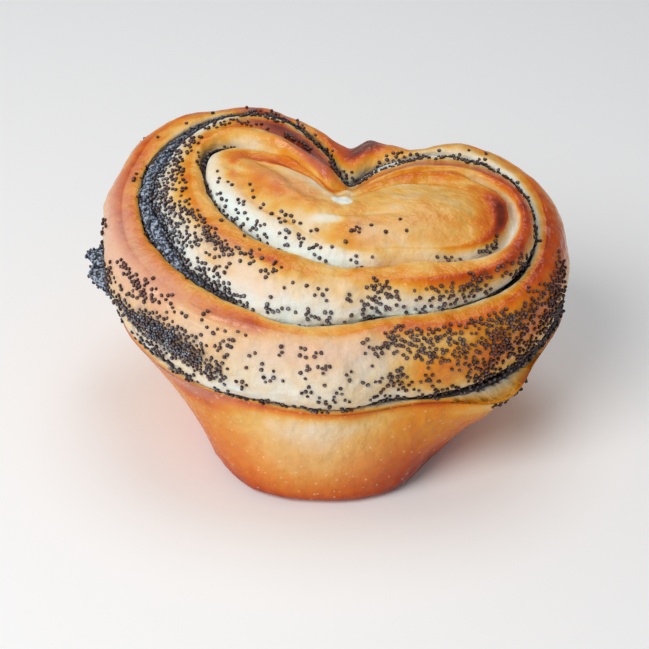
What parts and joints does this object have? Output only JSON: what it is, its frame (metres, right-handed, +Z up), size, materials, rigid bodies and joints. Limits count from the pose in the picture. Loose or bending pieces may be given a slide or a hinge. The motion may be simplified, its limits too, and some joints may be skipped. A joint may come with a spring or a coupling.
{
  "type": "poppy seed bun",
  "caption": "Sweet bread roll cut and opened into a heart, with nested golden layers, creases of dark poppy seed filling, and a smooth crust below on a flat foot.",
  "frame": {"origin": "on the surface that the bun stands on, under the middle of its bounding box", "axes": "+Z up, +X across the two lobes of the heart, towards the right lobe as seen from the tip, +Y from the tip of the heart to the notch between its lobes"},
  "size_m": [0.1111, 0.0821, 0.06],
  "materials": {
    "glazed_crust": "golden egg-washed crust, browner on the crests and pale in the creases, satin",
    "poppy_filling": "dense blue-grey poppy seeds, rough"
  },
  "bodies": {
    "root": {"bun_dough": "glazed_crust", "poppy_filling_outer": "poppy_filling", "poppy_filling_middle": "poppy_filling", "poppy_filling_inner": "poppy_filling"}
  },
  "joints": []
}
